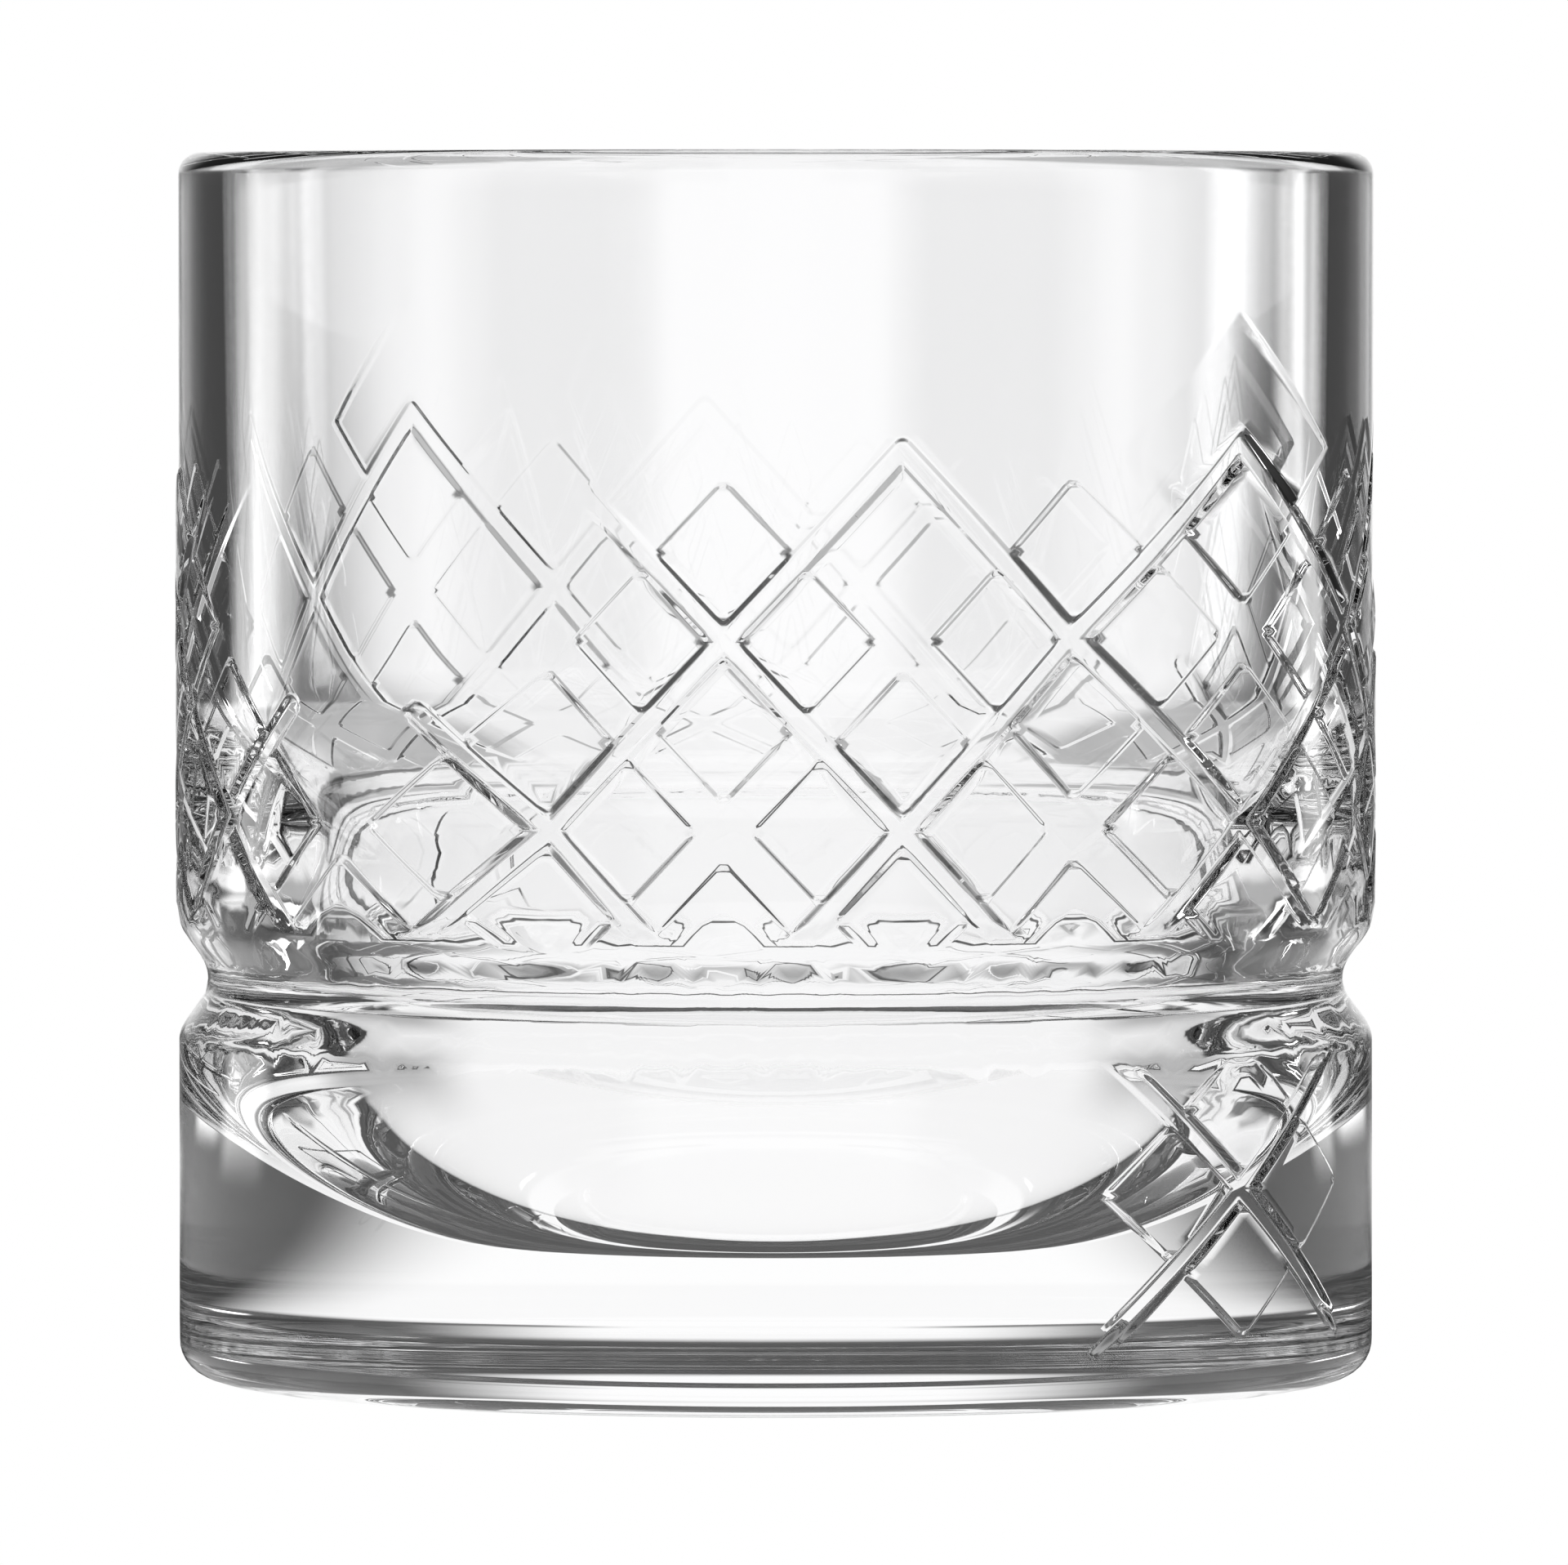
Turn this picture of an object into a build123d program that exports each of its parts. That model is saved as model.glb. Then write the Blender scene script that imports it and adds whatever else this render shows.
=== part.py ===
from build123d import *
from math import ceil, cos, radians, sin
import os

# Pressed clear-glass whiskey tumbler: one solid, in millimetres, +Z up.
# The origin is the middle of the foot's underside. The front faces -Y, and +X is to its right.

# ---- Body: a straight cylinder with a thick solid base --------------------------------------
height = 89.0
body_radius = 43.5
base_corner_radius = 2.6
rim_radius = 1.6                      # half the wall's thickness at the rim
punt_radius = 36.0                    # shallow dish under the foot
punt_depth = 0.5

# ---- Cavity: an almost straight wall that draws in above the waist to a rounded bowl ---------
cavity_top_radius = body_radius - 2 * rim_radius
shoulder_height = 50.0                # where the wall starts to draw in
shoulder_radius = cavity_top_radius - 0.5
throat_height = 32.0                  # just above the waist
throat_radius = 35.6
floor_height = 10.0
floor_radius = 13.0                   # the flat middle of the bowl
bowl_reach = 20.0                     # the floor's pull on the bowl's curve

# ---- Waist: the smooth groove around the outside ---------------------------------------------
waist_height = 29.0
waist_depth = 2.2
waist_half_width = 4.6
waist_lip = 2.0                       # how far the cutter reaches outside the body

# ---- Lattice: two families of diagonal grooves with four raised pads around each crossing ----
# Crossings lie on twenty upright lines, counted from the tallest point of the pattern, and on
# rows counted downwards. Even lines hold the even rows, odd lines the odd rows. The lines' angles
# run to the right from the front, and are uneven, as the mould is.
line_angles = [
    49.5, 70.3, 87.0, 103.8, 120.5, 137.3, 154.0, 170.8, 187.5, 204.3,
    222.5, 240.0, 258.8, 277.5, 296.3, 315.0, 338.5, 355.2, 371.8, 388.6,
]
half_turn_lines = 10                  # the pattern repeats after this many lines
top_row_height = 67.9
row_pitch = 13.35
base_row_height = 15.3                # the single crossing below the waist
base_pitch = top_row_height - 3 * row_pitch - base_row_height
pad_offset = 0.463                    # a crossing to the middle of its pads, in line or row steps
pad_half_size = 0.381                 # a pad's half diagonal, in line or row steps
pad_corner_radius = 0.8
pad_rise = 0.35
crest_inner = 0.041                   # the crest's arms, square to the grooves, in lattice steps
crest_reach = 0.365
crest_rise = 0.55
groove_width = 1.5
groove_depth = 0.3
relief_root = 3.0                     # how far below the surface the relief's tools start
relief_reach = 5.0                    # and how far they run outwards from there

# Crossings with pads, as (lines from the tallest point, row). The crest stands in for the other
# three pads of the one on the top row.
full_crossings = [(0, 0), (-3, 1), (-1, 1), (1, 1), (3, 1), (-4, 2), (-2, 2), (0, 2), (2, 2), (4, 2)]
# Lines where only the upper pad of the third row shows above the waist.
lower_pad_lines = [-5, -3, -1, 1, 3]
# Grooves as (line and row of the upper end, line and row of the lower end).
upper_grooves = [
    ((0, 0), (-3, 3)), ((0, 0), (3, 3)),
    ((-2, 0), (-5, 3)), ((-2, 0), (1, 3)),
    ((2, 0), (-1, 3)), ((2, 0), (5, 3)),
    ((3.8, 0.2), (1, 3)), ((-3.8, 0.2), (-1, 3)),
    ((4.6, 1.4), (3, 3)), ((-4.6, 1.4), (-3, 3)),
]
base_groove_reach = 0.75              # arms of the crossing on the base, in line or row steps


def line_angle(line):
    """Angle in degrees from the front of any line, whole or not, past either end of the list."""
    whole = int(line // 1)
    part = line - whole
    turns, index = divmod(whole, len(line_angles))
    here = line_angles[index] + 360 * turns
    next_turns, next_index = divmod(whole + 1, len(line_angles))
    after = line_angles[next_index] + 360 * next_turns
    return here + part * (after - here)


def row_height(row):
    """Height above the foot of a row of crossings, whole or not."""
    return top_row_height - row * row_pitch


def wall_plane(line, z):
    """Plane that stands just inside the wall on a line, facing outwards with its Y upwards."""
    turn = radians(line_angle(line) - 90)
    outwards = Vector(cos(turn), sin(turn), 0)
    origin = outwards * (body_radius - relief_root) + Vector(0, 0, z)
    return Plane(origin=origin, x_dir=(-sin(turn), cos(turn), 0), z_dir=outwards)


def arc_length(first_line, last_line):
    """Length around the body from one line to another."""
    return radians(line_angle(last_line) - line_angle(first_line)) * body_radius


def pad_outline(line, z, pitch=row_pitch):
    """One pad on the wall: a diamond with rounded corners."""
    half_width = arc_length(line - pad_half_size, line + pad_half_size) / 2
    half_height = pad_half_size * pitch
    with BuildSketch(wall_plane(line, z)) as outline:
        with BuildLine():
            Polyline(
                (half_width, 0), (0, half_height), (-half_width, 0), (0, -half_height), close=True
            )
        make_face()
        fillet(vertices(), pad_corner_radius)
    return outline.sketch


def crest_outline(line):
    """The chevron over the pattern's tallest point: two arms that meet in one long tip."""
    inner_step = crest_reach + crest_inner
    drop = (crest_reach - crest_inner) * row_pitch
    with BuildSketch(wall_plane(line, top_row_height)) as outline:
        with BuildLine():
            Polyline(
                (arc_length(line, line - 2 * crest_reach), 0),
                (arc_length(line, line - inner_step), -drop),
                (0, 2 * crest_inner * row_pitch),
                (arc_length(line, line + inner_step), -drop),
                (arc_length(line, line + 2 * crest_reach), 0),
                (0, 2 * crest_reach * row_pitch),
                close=True,
            )
        make_face()
    return outline.sketch


def groove_outline(start, end):
    """One straight piece of groove between two (line, height) points a line or so apart."""
    middle_line = (start[0] + end[0]) / 2
    middle_height = (start[1] + end[1]) / 2
    half_run = arc_length(start[0], end[0]) / 2
    half_rise = (end[1] - start[1]) / 2
    run = Vector(half_run, half_rise)
    with BuildSketch(wall_plane(middle_line, middle_height)) as outline:
        SlotCenterToCenter(
            2 * run.length, groove_width, rotation=Vector(1, 0).get_signed_angle(run)
        )
    return outline.sketch


# ---- The pads: prisms that stand out of the wall, trimmed to a common radius -----------------
pad_faces = []
for first_line in (0, half_turn_lines):
    for line, row in full_crossings:
        centre = first_line + line
        pad_faces += pad_outline(centre, row_height(row + pad_offset)).faces()
        if row > 0:
            pad_faces += pad_outline(centre, row_height(row - pad_offset)).faces()
            pad_faces += pad_outline(centre - pad_offset, row_height(row)).faces()
            pad_faces += pad_outline(centre + pad_offset, row_height(row)).faces()
    for line in lower_pad_lines:
        pad_faces += pad_outline(first_line + line, row_height(3 - pad_offset)).faces()
    for step in (-pad_offset, pad_offset):
        pad_faces += pad_outline(first_line + step, base_row_height, base_pitch).faces()
        pad_faces += pad_outline(first_line, base_row_height + step * base_pitch, base_pitch).faces()

with BuildPart() as pads:
    extrude(pad_faces, amount=relief_reach)
    with BuildSketch():
        Circle(body_radius + 2 * relief_reach)
        Circle(body_radius + pad_rise, mode=Mode.SUBTRACT)
    extrude(amount=height, mode=Mode.SUBTRACT)

# ---- The crests: one over each tallest point, standing prouder than the pads ------------------
crest_faces = []
for first_line in (0, half_turn_lines):
    crest_faces += crest_outline(first_line).faces()

with BuildPart() as crests:
    extrude(crest_faces, amount=relief_reach)
    with BuildSketch():
        Circle(body_radius + 2 * relief_reach)
        Circle(body_radius + crest_rise, mode=Mode.SUBTRACT)
    extrude(amount=height, mode=Mode.SUBTRACT)

# ---- The grooves: straight pieces, about one line long, trimmed to a common depth ------------
groove_faces = []
for first_line in (0, half_turn_lines):
    for (top_line, top_row), (low_line, low_row) in upper_grooves:
        pieces = ceil(low_row - top_row)
        for piece in range(pieces):
            ends = []
            for share in (piece / pieces, (piece + 1) / pieces):
                line = first_line + top_line + share * (low_line - top_line)
                row = top_row + share * (low_row - top_row)
                ends.append((line, row_height(row)))
            groove_faces += groove_outline(*ends).faces()
    for side in (-base_groove_reach, base_groove_reach):
        for arm in (-base_groove_reach, base_groove_reach):
            tip = (first_line + side, base_row_height + arm * base_pitch)
            groove_faces += groove_outline((first_line, base_row_height), tip).faces()

with BuildPart() as grooves:
    extrude(groove_faces, amount=relief_reach)
    with BuildSketch():
        Circle(body_radius - groove_depth)
    extrude(amount=height, mode=Mode.SUBTRACT)

# ---- The glass --------------------------------------------------------------------------------
with BuildPart() as glass_tumbler:
    with BuildSketch(Plane.XZ):
        with BuildLine():
            rim_edge = height - rim_radius
            ThreePointArc(
                (0, punt_depth), (punt_radius / 2, punt_depth * 3 / 4), (punt_radius, 0)
            )
            Line((punt_radius, 0), (body_radius - base_corner_radius, 0))
            RadiusArc(
                (body_radius - base_corner_radius, 0), (body_radius, base_corner_radius),
                -base_corner_radius,
            )
            Line((body_radius, base_corner_radius), (body_radius, rim_edge))
            ThreePointArc(
                (body_radius, rim_edge), (body_radius - rim_radius, height), (cavity_top_radius, rim_edge)
            )
            Line((cavity_top_radius, rim_edge), (shoulder_radius, shoulder_height))
            Bezier(
                (shoulder_radius, shoulder_height), (shoulder_radius - 0.1, 43),
                (throat_radius + 0.2, 39), (throat_radius, throat_height),
            )
            Bezier(
                (throat_radius, throat_height), (throat_radius - 0.4, 22),
                (bowl_reach, floor_height), (floor_radius, floor_height),
            )
            Line((floor_radius, floor_height), (0, floor_height))
            Line((0, floor_height), (0, punt_depth))
        make_face()
    revolve(axis=Axis.Z)
    add(pads.part)
    add(crests.part)
    add(grooves.part, mode=Mode.SUBTRACT)
    with BuildSketch(Plane.XZ):
        with BuildLine():
            lip_radius = body_radius + waist_lip
            waist_radius = body_radius - waist_depth
            waist_top = waist_height + waist_half_width
            waist_bottom = waist_height - waist_half_width
            Polyline(
                (body_radius, waist_bottom), (lip_radius, waist_bottom),
                (lip_radius, waist_top), (body_radius, waist_top),
            )
            Bezier(
                (body_radius, waist_top), (body_radius, waist_height + waist_half_width * 0.6),
                (waist_radius, waist_height + waist_half_width * 0.4), (waist_radius, waist_height),
            )
            Bezier(
                (waist_radius, waist_height), (waist_radius, waist_height - waist_half_width * 0.4),
                (body_radius, waist_height - waist_half_width * 0.6), (body_radius, waist_bottom),
            )
        make_face()
    revolve(axis=Axis.Z, mode=Mode.SUBTRACT)
glass_tumbler.part.label = "glass_tumbler"

os.makedirs("parts", exist_ok=True)
export_step(glass_tumbler.part, "parts/glass_tumbler.step")
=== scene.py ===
import math

import bpy
import numpy as np
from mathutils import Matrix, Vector


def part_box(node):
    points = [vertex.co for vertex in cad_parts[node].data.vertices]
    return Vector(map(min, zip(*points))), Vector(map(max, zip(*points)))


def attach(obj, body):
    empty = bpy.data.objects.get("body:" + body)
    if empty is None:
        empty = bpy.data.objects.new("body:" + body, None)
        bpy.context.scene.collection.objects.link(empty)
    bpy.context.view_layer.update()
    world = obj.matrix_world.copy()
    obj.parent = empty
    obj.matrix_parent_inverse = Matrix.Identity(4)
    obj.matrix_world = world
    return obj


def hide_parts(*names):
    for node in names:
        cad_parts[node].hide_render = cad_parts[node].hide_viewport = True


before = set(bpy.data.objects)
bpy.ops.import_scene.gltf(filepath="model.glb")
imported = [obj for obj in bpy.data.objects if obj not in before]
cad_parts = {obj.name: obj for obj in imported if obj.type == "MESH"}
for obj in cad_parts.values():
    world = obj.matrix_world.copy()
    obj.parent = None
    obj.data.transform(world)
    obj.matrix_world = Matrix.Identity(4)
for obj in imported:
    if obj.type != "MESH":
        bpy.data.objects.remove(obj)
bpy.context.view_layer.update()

# Pressed clear-glass whiskey tumbler. Sizes are in millimetres and turned into metres where the
# mesh is made. +Z is up, the front faces -Y, and angles run to the right from the front.
MM = 0.001
NODE = "glass_tumbler"
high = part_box(NODE)[1]

# ---- Driving dimensions, the same as the CAD part's ------------------------------------------
PAD_RISE = 0.35
HEIGHT = high[2] / MM
BODY_RADIUS = high[0] / MM - PAD_RISE
CORNER_RADIUS = 2.6
RIM_RADIUS = 1.6
PUNT_RADIUS = 36.0
PUNT_DEPTH = 0.5
CAVITY_TOP_RADIUS = BODY_RADIUS - 2 * RIM_RADIUS
SHOULDER = (CAVITY_TOP_RADIUS - 0.5, 50.0)
THROAT = (35.6, 32.0)
FLOOR_HEIGHT = 10.0
FLOOR_RADIUS = 13.0
BOWL_REACH = 20.0
WAIST_HEIGHT = 29.0
WAIST_DEPTH = 2.2
WAIST_HALF_WIDTH = 4.6

# ---- The lattice: twenty upright lines crossed by rows ----------------------------------------
LINE_ANGLES = [
    49.5, 70.3, 87.0, 103.8, 120.5, 137.3, 154.0, 170.8, 187.5, 204.3,
    222.5, 240.0, 258.8, 277.5, 296.3, 315.0, 338.5, 355.2, 371.8, 388.6,
]
LINES = len(LINE_ANGLES)
HALF_TURN = 10
TOP_ROW_HEIGHT = 67.9
ROW_PITCH = 13.35
BASE_ROW_HEIGHT = 15.3
BASE_PITCH = TOP_ROW_HEIGHT - 3 * ROW_PITCH - BASE_ROW_HEIGHT
PAD_NEAR = 0.041                      # a pad's edges, as shares of the step between grooves
PAD_FAR = 0.422
PAD_CORNER = 0.8
STEP_SIZE = 19.1                      # a usual step, square to the grooves, in millimetres
PAD_BEVEL = 0.6
OUTER_BEVEL = 0.5                     # a pad falls away a little more sharply on its outer sides
OUTER_FROM = 0.3                      # where those sides begin, as a share of a step
OUTER_RUN = 0.1                       # and over how much of it the bevel changes
GROOVE_WIDTH = 1.5
GROOVE_DEPTH = 0.3
CROSSINGS = [(0, 0), (-3, 1), (-1, 1), (1, 1), (3, 1), (-4, 2), (-2, 2), (0, 2), (2, 2), (4, 2)]
LOWER_PAD_LINES = [-5, -3, -1, 1, 3]
# Each groove: where it starts, where it ends, and over how many steps it fades in.
GROOVES = [
    ((0, 0), (-3, 3), 0), ((0, 0), (3, 3), 0),
    ((-2, 0), (-5, 3), 0), ((-2, 0), (1, 3), 0),
    ((2, 0), (-1, 3), 0), ((2, 0), (5, 3), 0),
    ((3.8, 0.2), (1, 3), 0.8), ((-3.8, 0.2), (-1, 3), 0.8),
    ((4.6, 1.4), (3, 3), 0), ((-4.6, 1.4), (-3, 3), 0),
]
BASE_REACH = 0.75
CREST_REACH = 0.365                   # how far the crest's arms run, as a share of a step
CREST_RISE = 0.55
CREST_BEVEL = 2.2                     # its left arm ends softly; it rises from nothing to the right
FACET_WIDTH = 0.4
BACK_RELIEF = 0.35                    # the relief is shallower at the back of the mould
BACK_LIFT = 1.4                       # how much higher the mould set the pattern at the back
LIFT_START = 7.0                      # the lift starts to grow this far above the waist's middle
LIFT_GROWTH = 8.0                     # and is full after this much more
LIFT_END = 85.0                       # it has gone again at this height
LIFT_DECAY = 5.0                      # after fading over this much
RELIEF_FADE = 1.2                     # beside the waist the relief fades over this height
TURNS = range(-1, 4)                  # half turns that reach every line of a net
TOP_ROWS = 2                          # rows that the table of pads has above the top row
ROW_COUNT = 8
NORMAL_STEP = 0.002                   # a normal comes from points this many steps to each side

# Shares of one step at which the mesh has lines, close together across the pads' edges.
HALF_MARKS = [
    0.0, 0.016, 0.027, 0.036, 0.046, 0.055, 0.09, 0.2,
    0.3, 0.336, 0.352, 0.365, 0.378, 0.406, 0.422, 0.438,
]
MARKS = np.array(HALF_MARKS + [0.5] + [1 - mark for mark in reversed(HALF_MARKS[1:])])
N = len(MARKS)


def smooth(x):
    """0 below 0, 1 above 1, an S curve between."""
    x = np.clip(x, 0, 1)
    return x * x * (3 - 2 * x)


def line_to_angle(line):
    """Angle in degrees of a lattice line, whole or not, on any turn."""
    whole = np.floor(line).astype(int)
    part = line - whole
    angles = np.array(LINE_ANGLES + [LINE_ANGLES[0] + 360])
    turns = whole // LINES
    index = whole % LINES
    return angles[index] + part * (angles[index + 1] - angles[index]) + 360 * turns


def steps_scale(line, pitch):
    """Millimetres per lattice step, square to the grooves, near a line."""
    run = np.radians(line_to_angle(line + 0.5) - line_to_angle(line - 0.5)) * BODY_RADIUS
    return 2 / np.sqrt(1 / run**2 + 1 / pitch**2)


def has_pad(line, row, side):
    """1 where a crossing's pad stands on the wall. Sides: 0 left, 1 top, 2 below, 3 right."""
    table = np.zeros((HALF_TURN, ROW_COUNT, 4))
    for crossing_line, crossing_row in CROSSINGS:
        table[crossing_line % HALF_TURN, crossing_row + TOP_ROWS, :] = 1
    for pad_line in LOWER_PAD_LINES:
        table[pad_line % HALF_TURN, 3 + TOP_ROWS, 1] = 1
    table[0, TOP_ROWS, [0, 1, 3]] = 0     # the crest stands in for these three
    place = np.clip(row.astype(int) + TOP_ROWS, 0, ROW_COUNT - 1)
    return table[line.astype(int) % HALF_TURN, place, side]


def rounded_square(a, b, middle, half, radius):
    """Signed distance to a square with rounded corners."""
    x = np.abs(a - middle) - half + radius
    y = np.abs(b - middle) - half + radius
    outside = np.hypot(np.maximum(x, 0), np.maximum(y, 0))
    return outside + np.minimum(np.maximum(x, y), 0) - radius


def pads(line, row, scale, present):
    """How far up the four pads around each crossing stand: 0 on the wall, 1 on a pad's top."""
    p = (line + row) / 2
    q = (line - row) / 2
    p0 = np.round(p)
    q0 = np.round(q)
    a = p - p0
    b = q - q0
    side = (a > 0) * 2 + (b > 0) * 1
    standing = present(p0 + q0, p0 - q0, side)
    middle = (PAD_NEAR + PAD_FAR) / 2
    half = (PAD_FAR - PAD_NEAR) / 2
    corner = PAD_CORNER / STEP_SIZE
    distance = rounded_square(np.abs(a), np.abs(b), middle, half, corner) * scale
    outer = smooth((np.maximum(np.abs(a), np.abs(b)) - OUTER_FROM) / OUTER_RUN)
    bevel = PAD_BEVEL + outer * (OUTER_BEVEL - PAD_BEVEL)
    return standing * smooth(0.5 - distance / bevel)


def groove(line, row, start, end, fade, scale):
    """How far down a groove is at a point: 0 outside it, 1 along its middle."""
    along = (end[0] - start[0], end[1] - start[1])
    length2 = along[0] ** 2 + along[1] ** 2
    share = ((line - start[0]) * along[0] + (row - start[1]) * along[1]) / length2
    share = np.clip(share, 0, 1)
    off_line = line - start[0] - share * along[0]
    off_row = row - start[1] - share * along[1]
    distance = np.hypot(off_line, off_row) / math.sqrt(2) * scale
    cut = smooth((GROOVE_WIDTH / 2 + PAD_BEVEL / 2 - distance) / PAD_BEVEL)
    if fade:
        cut = cut * smooth(share * math.sqrt(length2) / fade)
    return cut


def crest(line, row, scale):
    """The two long pads that meet over the pattern's tallest point, cut to a facet at the right."""
    line = (line + HALF_TURN / 2) % HALF_TURN - HALF_TURN / 2
    p = (line + row) / 2
    q = (line - row) / 2
    left_end = smooth(0.5 + (q + CREST_REACH) * scale / CREST_BEVEL)
    right_end = smooth(0.5 + (CREST_REACH - p) * scale / PAD_BEVEL)
    left_inner = smooth(0.5 - (p + PAD_NEAR) * scale / PAD_BEVEL)
    right_inner = smooth(0.5 + (q - PAD_NEAR) * scale / PAD_BEVEL)
    widening = np.clip((p + CREST_REACH) / (2 * CREST_REACH), 0, 1)
    facet = smooth((CREST_REACH - q) * scale / (PAD_BEVEL + FACET_WIDTH * widening))
    arms = np.maximum(left_inner, right_inner)
    return widening * np.minimum.reduce([arms, left_end, right_end, facet])


def upper_relief(line, row):
    """Height of the lattice above the wall in millimetres, above the waist."""
    scale = steps_scale(line, ROW_PITCH)
    pad_height = PAD_RISE * pads(line, row, scale, has_pad)
    rise = np.maximum(pad_height, CREST_RISE * crest(line, row, scale))
    depth = np.zeros_like(line)
    for start, end, fade in GROOVES:
        for turn in TURNS:
            shift = turn * HALF_TURN
            top = (start[0] + shift, start[1])
            foot = (end[0] + shift, end[1])
            depth = np.maximum(depth, groove(line, row, top, foot, fade, scale))
    return rise - GROOVE_DEPTH * depth


def base_relief(line, row):
    """The same for the crossing on the base under each crest."""
    scale = steps_scale(line, BASE_PITCH)

    def present(pad_line, pad_row, side):
        return ((pad_line % HALF_TURN) == 0) * (pad_row == 0) * 1.0
    rise = PAD_RISE * pads(line, row, scale, present)
    depth = np.zeros_like(line)
    for turn in TURNS:
        centre = turn * HALF_TURN
        for side in (-BASE_REACH, BASE_REACH):
            for arm in (-BASE_REACH, BASE_REACH):
                tip = (centre + side, arm)
                depth = np.maximum(depth, groove(line, row, (centre, 0), tip, 0, scale))
    return rise - GROOVE_DEPTH * depth


def bezier(points, count):
    """Points along a cubic curve."""
    p0, p1, p2, p3 = (np.array(point, float) for point in points)
    t = np.linspace(0, 1, count)[:, None]
    return (1 - t)**3 * p0 + 3 * (1 - t)**2 * t * p1 + 3 * (1 - t) * t**2 * p2 + t**3 * p3


def waist_curve():
    """Heights and radii of the groove round the waist, from its bottom edge to its top edge."""
    upper = bezier([
        (BODY_RADIUS - WAIST_DEPTH, WAIST_HEIGHT),
        (BODY_RADIUS - WAIST_DEPTH, WAIST_HEIGHT + 0.4 * WAIST_HALF_WIDTH),
        (BODY_RADIUS, WAIST_HEIGHT + 0.6 * WAIST_HALF_WIDTH),
        (BODY_RADIUS, WAIST_HEIGHT + WAIST_HALF_WIDTH)], 60)
    lower = upper[::-1] * (1, -1) + (0, 2 * WAIST_HEIGHT)
    return np.vstack([lower[:-1], upper])


WAIST = waist_curve()


def body_radius(z):
    """Radius of the plain body, with its waist and its rounded foot."""
    radius = np.interp(z, WAIST[:, 1], WAIST[:, 0], left=BODY_RADIUS, right=BODY_RADIUS)
    corner = np.clip(CORNER_RADIUS - z, 0, CORNER_RADIUS)
    return radius - CORNER_RADIUS + np.sqrt(np.maximum(CORNER_RADIUS**2 - corner**2, 0))


def relief_share(z):
    """The relief dies out towards the waist."""
    return smooth((np.abs(z - WAIST_HEIGHT) - WAIST_HALF_WIDTH) / RELIEF_FADE)


def wall_point(line, row, top_height, pitch, relief):
    """The outer surface's point at a place in the lattice."""
    angle = np.radians(line_to_angle(line))
    z = top_height - row * pitch
    lift_share = smooth((z - WAIST_HEIGHT - LIFT_START) / LIFT_GROWTH) * smooth((LIFT_END - z) / LIFT_DECAY)
    z = z + BACK_LIFT * (1 - np.cos(angle)) / 2 * lift_share
    depth_share = (1 + BACK_RELIEF) / 2 + (1 - BACK_RELIEF) / 2 * np.cos(angle)
    radius = body_radius(z) + relief(line, row) * relief_share(z) * depth_share
    return np.stack([radius * np.sin(angle), -radius * np.cos(angle), z], axis=-1)


def wall_patch(first_row, last_row, top_height, pitch, relief):
    """A net of points on the lattice's own diagonals all the way round, their normals and lines."""
    i = np.arange(HALF_TURN * N)[:, None]
    d = np.arange(first_row * N, last_row * N + 1)[None, :]
    j = i - d
    p = i // N + MARKS[i % N]
    q = j // N + MARKS[j % N]
    line = p + q
    row = p - q
    points = wall_point(line, row, top_height, pitch, relief)
    along = (wall_point(line + NORMAL_STEP, row, top_height, pitch, relief)
             - wall_point(line - NORMAL_STEP, row, top_height, pitch, relief))
    down = (wall_point(line, row + NORMAL_STEP, top_height, pitch, relief)
            - wall_point(line, row - NORMAL_STEP, top_height, pitch, relief))
    normals = np.cross(down, along)
    normals /= np.linalg.norm(normals, axis=-1, keepdims=True)
    return points, normals, line


# ---- Mesh: the two lattice nets, the inside and the underside ------------------------------------
points, normals, faces = [], [], []


def add_points(new_points, new_normals):
    """Keep points and their normals, and give each point's number in the mesh."""
    start = sum(len(kept) for kept in points)
    points.append(new_points.reshape(-1, 3))
    normals.append(new_normals.reshape(-1, 3))
    return np.arange(start, start + len(points[-1])).reshape(new_points.shape[:-1])


def add_net(index):
    """Two triangles between each pair of neighbouring diagonals of a net."""
    columns, rows = index.shape
    for i in range(columns):
        k = (i + 1) % columns
        for d in range(rows):
            here, down_right = index[i, d], index[k, d]
            if d + 1 < rows:
                right = index[k, d + 1]
                faces.append((here, right, down_right))
            if d > 0:
                left = index[i, d - 1]
                faces.append((here, down_right, left))


def lathe(profile, angles, first_ring, up):
    """Rings along a profile of (radius, height), from a ring that is there to a closing point."""
    profile = np.array(profile)
    tangent = np.gradient(profile, axis=0)
    ring = first_ring
    for place in range(1, len(profile)):
        radius, z = profile[place]
        run, rise = tangent[place] / np.linalg.norm(tangent[place])
        if place == len(profile) - 1:
            upright = np.array([[0, 0, 1.0 if up else -1.0]])
            centre = add_points(np.array([[0, 0, z]]), upright)[0]
            for i in range(len(ring)):
                j = (i + 1) % len(ring)
                faces.append((ring[i], ring[j], centre) if up else (ring[j], ring[i], centre))
            return
        sine, cosine = np.sin(angles), np.cos(angles)
        rings = np.stack([radius * sine, -radius * cosine, np.full_like(sine, z)], axis=-1)
        slope = np.stack([rise * sine, -rise * cosine, np.full_like(sine, -run)], axis=-1)
        new_ring = add_points(rings, slope * (1 if up else -1))
        for i in range(len(ring)):
            j = (i + 1) % len(ring)
            if up:
                faces.append((ring[i], ring[j], new_ring[j], new_ring[i]))
            else:
                faces.append((ring[j], ring[i], new_ring[i], new_ring[j]))
        ring = new_ring


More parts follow.
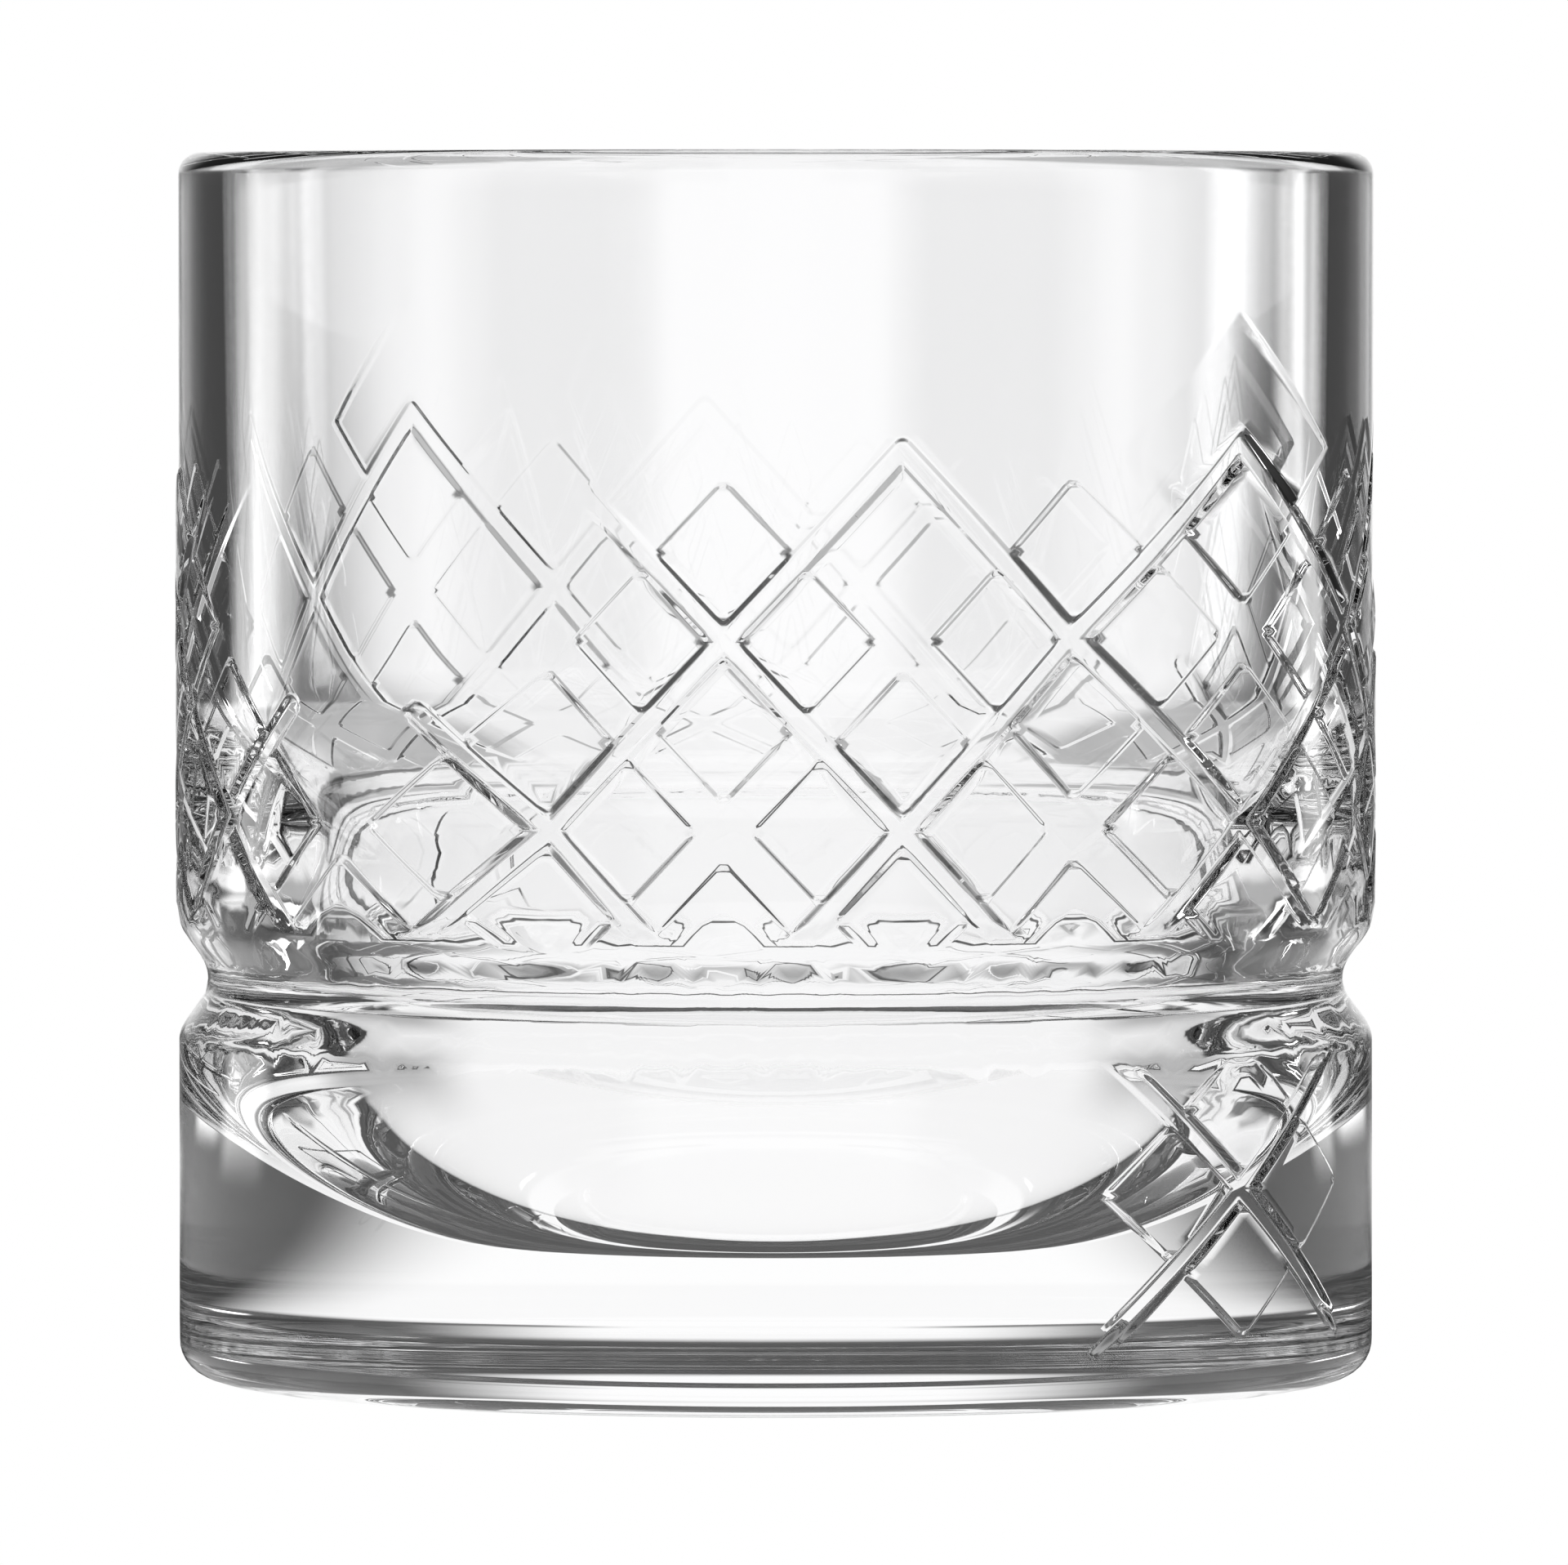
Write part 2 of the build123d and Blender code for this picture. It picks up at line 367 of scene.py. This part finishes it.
upper_points, upper_normals, upper_line = wall_patch(-1, 3, TOP_ROW_HEIGHT, ROW_PITCH, upper_relief)
upper_index = add_points(upper_points, upper_normals)
lower_points, lower_normals, lower_line = wall_patch(-1, 1, BASE_ROW_HEIGHT, BASE_PITCH, base_relief)
lower_index = np.zeros(lower_points.shape[:-1], int)
lower_index[:, 1:] = add_points(lower_points[:, 1:], lower_normals[:, 1:])
lower_index[:, 0] = np.roll(upper_index[:, -1], -2 * N)
add_net(upper_index)
add_net(lower_index)

# ---- Over the rim and down the cavity ----------------------------------------------------------
rim_edge = HEIGHT - RIM_RADIUS
top_height = TOP_ROW_HEIGHT + ROW_PITCH
inside = [(BODY_RADIUS, z) for z in np.linspace(top_height, rim_edge, 5)]
for turn in np.linspace(0, 180, 19)[1:]:
    inside.append((BODY_RADIUS - RIM_RADIUS + RIM_RADIUS * math.cos(math.radians(turn)),
                   rim_edge + RIM_RADIUS * math.sin(math.radians(turn))))
for share in np.linspace(0, 1, 12)[1:]:
    inside.append((CAVITY_TOP_RADIUS + share * (SHOULDER[0] - CAVITY_TOP_RADIUS),
                   rim_edge + share * (SHOULDER[1] - rim_edge)))
inside += bezier([
    SHOULDER, (SHOULDER[0] - 0.1, 43.0), (THROAT[0] + 0.2, 39.0), THROAT], 16)[1:].tolist()
inside += bezier([
    THROAT, (THROAT[0] - 0.4, 22.0),
    (BOWL_REACH, FLOOR_HEIGHT), (FLOOR_RADIUS, FLOOR_HEIGHT)], 32)[1:].tolist()
inside += [(radius, FLOOR_HEIGHT) for radius in np.linspace(FLOOR_RADIUS, 0, 6)[1:]]
lathe(inside, np.radians(line_to_angle(upper_line[:, 0])), upper_index[:, 0], True)

# ---- Round the foot and under it ----------------------------------------------------------------
bottom_height = BASE_ROW_HEIGHT - BASE_PITCH
start_turn = math.degrees(math.acos((CORNER_RADIUS - bottom_height) / CORNER_RADIUS))
under = []
for turn in np.linspace(start_turn, 0, 9):
    under.append((BODY_RADIUS - CORNER_RADIUS + CORNER_RADIUS * math.sin(math.radians(turn)),
                  CORNER_RADIUS * (1 - math.cos(math.radians(turn)))))
under += [(radius, 0.0) for radius in np.linspace(BODY_RADIUS - CORNER_RADIUS, PUNT_RADIUS, 4)[1:]]
for radius in np.linspace(PUNT_RADIUS, 0, 16)[1:]:
    under.append((radius, PUNT_DEPTH * (1 - (radius / PUNT_RADIUS)**2)))
lathe(under, np.radians(line_to_angle(lower_line[:, -1])), lower_index[:, -1], False)

mesh = bpy.data.meshes.new("tumbler_glass")
corners = [tuple(int(corner) for corner in face) for face in faces]
mesh.from_pydata((np.vstack(points) * MM).tolist(), [], corners)
mesh.update()
mesh.shade_smooth()
mesh.normals_split_custom_set_from_vertices(np.vstack(normals).tolist())
glass = bpy.data.objects.new("tumbler_glass", mesh)
bpy.context.collection.objects.link(glass)

# ---- Clear glass --------------------------------------------------------------------------------
material = bpy.data.materials.new("clear_glass")
material.use_nodes = True
tree = material.node_tree
shader = tree.nodes["Principled BSDF"]
shader.inputs["Base Color"].default_value = (0.99, 0.99, 0.993, 1)
shader.inputs["Roughness"].default_value = 0.0
shader.inputs["IOR"].default_value = 1.52
shader.inputs["Transmission Weight"].default_value = 1.0
# The pressed wall keeps a faint upright ripple that fire polishing softens but doesn't remove.
place = tree.nodes.new("ShaderNodeTexCoord")
stretch = tree.nodes.new("ShaderNodeMapping")
stretch.inputs["Scale"].default_value = (1, 1, 0.3)
ripple = tree.nodes.new("ShaderNodeTexNoise")
ripple.inputs["Scale"].default_value = 90.0
ripple.inputs["Detail"].default_value = 1.0
bump = tree.nodes.new("ShaderNodeBump")
bump.inputs["Strength"].default_value = 0.12
bump.inputs["Distance"].default_value = 0.0001
tree.links.new(place.outputs["Object"], stretch.inputs["Vector"])
tree.links.new(stretch.outputs["Vector"], ripple.inputs["Vector"])
tree.links.new(ripple.outputs["Fac"], bump.inputs["Height"])
tree.links.new(bump.outputs["Normal"], shader.inputs["Normal"])
glass.data.materials.append(material)
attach(glass, "root")
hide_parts(NODE)

# ---- Studio -------------------------------------------------------------------------------------
# A lit panel stands behind the glass with grey wings, a strip light stands at each side, and the
# rest is black card, with fill from the front. Azimuth is in degrees from behind the glass (+Y),
# to the right as the camera sees it. A panel is (from, to, width of its soft edges, tone).
WHITE = (1, 1, 1, 1)
BLACK_CARD = 0.06
PANELS = [
    (-21, 21, 8, 0.2),
    (-10, 12, 8, 1.0),
    (-70, -54, 6, 3.5),
    (52, 62, 5, 3.5),
    (-115, -95, 8, 0.8),
    (95, 115, 8, 0.8),
    (-200, -155, 10, 1.0),
    (155, 200, 10, 1.0),
]
SOFT_LIGHT = [(-20, 20, 20, 1.0), (-200, -105, 20, 1.0), (105, 200, 20, 1.0)]
UNDER_CARDS = [(-120, -90, 16, 0.25), (90, 120, 16, 0.25)]
CARD_SPACING = 22.5                   # the alternating cards mirror each other at this spacing
CARD_EDGE = (9, 13)                   # the soft edge between a white card and a grey one
CARD_TONE = 0.5
HORIZON = (0, 2)                      # elevations over which the panels give way to the soft light
CEILING = (10, 20)                    # and the soft light to black card
# Distances from the foot's middle, in metres, over which one part of the floor gives way to another.
UNDER_FOOT = (0.03, 0.05)
NEAR_FOOT = (0.08, 0.12)
FAR_FLOOR = (0.24, 0.34)
# The share of a level look over a steep one, from about 13 degrees above the floor to about 7.
GRAZING = (0.78, 0.88)
FLOOR_DROP = 0.0002                   # the floor lies this far under the foot


def math_node(tree, operation, *values):
    """One step of arithmetic on numbers or other nodes' outputs."""
    node = tree.nodes.new("ShaderNodeMath")
    node.operation = operation
    for place, value in enumerate(values):
        if isinstance(value, (int, float)):
            node.inputs[place].default_value = value
        else:
            tree.links.new(value, node.inputs[place])
    return node.outputs[0]


def ramp(tree, value, start, end):
    """0 below start, 1 above end, an S curve between."""
    node = tree.nodes.new("ShaderNodeMapRange")
    node.interpolation_type = "SMOOTHSTEP"
    tree.links.new(value, node.inputs["Value"])
    node.inputs["From Min"].default_value = start
    node.inputs["From Max"].default_value = end
    return node.outputs["Result"]


def mixed(tree, share, first, second):
    """first where share is 0, second where it is 1."""
    rest = math_node(tree, "MULTIPLY", math_node(tree, "SUBTRACT", 1.0, share), first)
    return math_node(tree, "ADD", rest, math_node(tree, "MULTIPLY", share, second))


def set_tone(tree, angle, base, panels):
    """The tone seen at an azimuth: the base with each panel laid over it in turn."""
    tone = base
    for start, end, soft, brightness in panels:
        opening = ramp(tree, angle, start - soft / 2, start + soft / 2)
        closing = ramp(tree, angle, end - soft / 2, end + soft / 2)
        share = math_node(tree, "SUBTRACT", opening, closing)
        tone = mixed(tree, share, tone, brightness)
    return tone


def azimuth(tree, vector):
    """The direction of a vector in degrees from +Y towards +X, and the vector's parts."""
    parts = tree.nodes.new("ShaderNodeSeparateXYZ")
    tree.links.new(vector, parts.inputs[0])
    angle = math_node(tree, "ARCTAN2", parts.outputs["X"], parts.outputs["Y"])
    return math_node(tree, "MULTIPLY", angle, 180 / math.pi), parts


def disc(name, radius):
    """A round sheet that gives out light, just under the foot."""
    bpy.ops.mesh.primitive_circle_add(
        vertices=128, radius=radius, fill_type="NGON", location=(0, 0, -FLOOR_DROP))
    obj = bpy.context.object
    obj.name = name
    made = bpy.data.materials.new(name)
    made.use_nodes = True
    tree = made.node_tree
    tree.nodes.clear()
    emission = tree.nodes.new("ShaderNodeEmission")
    emission.inputs[0].default_value = WHITE
    output = tree.nodes.new("ShaderNodeOutputMaterial")
    tree.links.new(emission.outputs[0], output.inputs[0])
    obj.data.materials.append(made)
    return obj, tree, emission


floor, _, _ = disc("floor", 6.0)
floor.visible_transmission = False
floor.visible_glossy = False
floor.visible_diffuse = False

# The floor as the glass sees it. A level look finds the panels' light far off and pools of it
# nearby. A steep look finds white under the foot, two grey cards beside it, and, further out,
# white and grey cards that alternate.
lit_floor, tree, emission = disc("floor_light", 3.0)
lit_floor.visible_camera = False
geometry = tree.nodes.new("ShaderNodeNewGeometry")
angle, _ = azimuth(tree, geometry.outputs["Position"])
length = tree.nodes.new("ShaderNodeVectorMath")
length.operation = "LENGTH"
tree.links.new(geometry.outputs["Position"], length.inputs[0])
distance = length.outputs["Value"]
pools = set_tone(tree, angle, BLACK_CARD, SOFT_LIGHT)
far_lights = set_tone(tree, angle, BLACK_CARD, PANELS)
grazing = mixed(tree, ramp(tree, distance, *FAR_FLOOR), pools, far_lights)
folded = math_node(tree, "PINGPONG", angle, CARD_SPACING)
cards = mixed(tree, ramp(tree, folded, *CARD_EDGE), 1.0, CARD_TONE)
grey_cards = set_tone(tree, angle, 1.0, UNDER_CARDS)
beside = mixed(tree, ramp(tree, distance, *UNDER_FOOT), 1.0, grey_cards)
steep = mixed(tree, ramp(tree, distance, *NEAR_FOOT), beside, cards)
facing = tree.nodes.new("ShaderNodeLayerWeight")
grazing_share = ramp(tree, facing.outputs["Facing"], *GRAZING)
tree.links.new(mixed(tree, grazing_share, steep, grazing), emission.inputs["Strength"])

world = bpy.data.worlds.new("studio")
bpy.context.scene.world = world
world.use_nodes = True
tree = world.node_tree
tree.nodes.clear()
coordinates = tree.nodes.new("ShaderNodeTexCoord")
angle, parts = azimuth(tree, coordinates.outputs["Generated"])
elevation = math_node(tree, "MULTIPLY", math_node(tree, "ARCSINE", parts.outputs["Z"]), 180 / math.pi)
panels = set_tone(tree, angle, BLACK_CARD, PANELS)
soft_light = set_tone(tree, angle, BLACK_CARD, SOFT_LIGHT)
level = mixed(tree, ramp(tree, elevation, *HORIZON), panels, soft_light)
tone = mixed(tree, ramp(tree, elevation, *CEILING), level, BLACK_CARD)
studio = tree.nodes.new("ShaderNodeBackground")
studio.inputs[0].default_value = WHITE
tree.links.new(tone, studio.inputs["Strength"])
backdrop = tree.nodes.new("ShaderNodeBackground")
backdrop.inputs[0].default_value = WHITE
path = tree.nodes.new("ShaderNodeLightPath")
mix = tree.nodes.new("ShaderNodeMixShader")
tree.links.new(path.outputs["Is Camera Ray"], mix.inputs[0])
tree.links.new(studio.outputs[0], mix.inputs[1])
tree.links.new(backdrop.outputs[0], mix.inputs[2])
output = tree.nodes.new("ShaderNodeOutputWorld")
tree.links.new(mix.outputs[0], output.inputs[0])

# ---- Camera: a long lens about a metre away, a little above the glass's middle ---------------------
CAMERA_PLACE = (0, -1.05, 0.083)
CAMERA_TARGET = (0.0006, 0, 0.0431)
LENS = 330.75                         # a frame about 114 mm wide at the glass
camera_data = bpy.data.cameras.new("camera")
camera = bpy.data.objects.new("camera", camera_data)
bpy.context.collection.objects.link(camera)
camera.location = CAMERA_PLACE
aim = Vector(CAMERA_TARGET) - camera.location
camera.rotation_euler = aim.to_track_quat("-Z", "Y").to_euler()
camera_data.lens = LENS
camera_data.clip_start = 0.01
bpy.context.scene.camera = camera

scene = bpy.context.scene
scene.view_settings.view_transform = "Standard"
scene.cycles.max_bounces = 24
scene.cycles.transmission_bounces = 24
scene.cycles.glossy_bounces = 12
scene.cycles.sample_clamp_indirect = 0
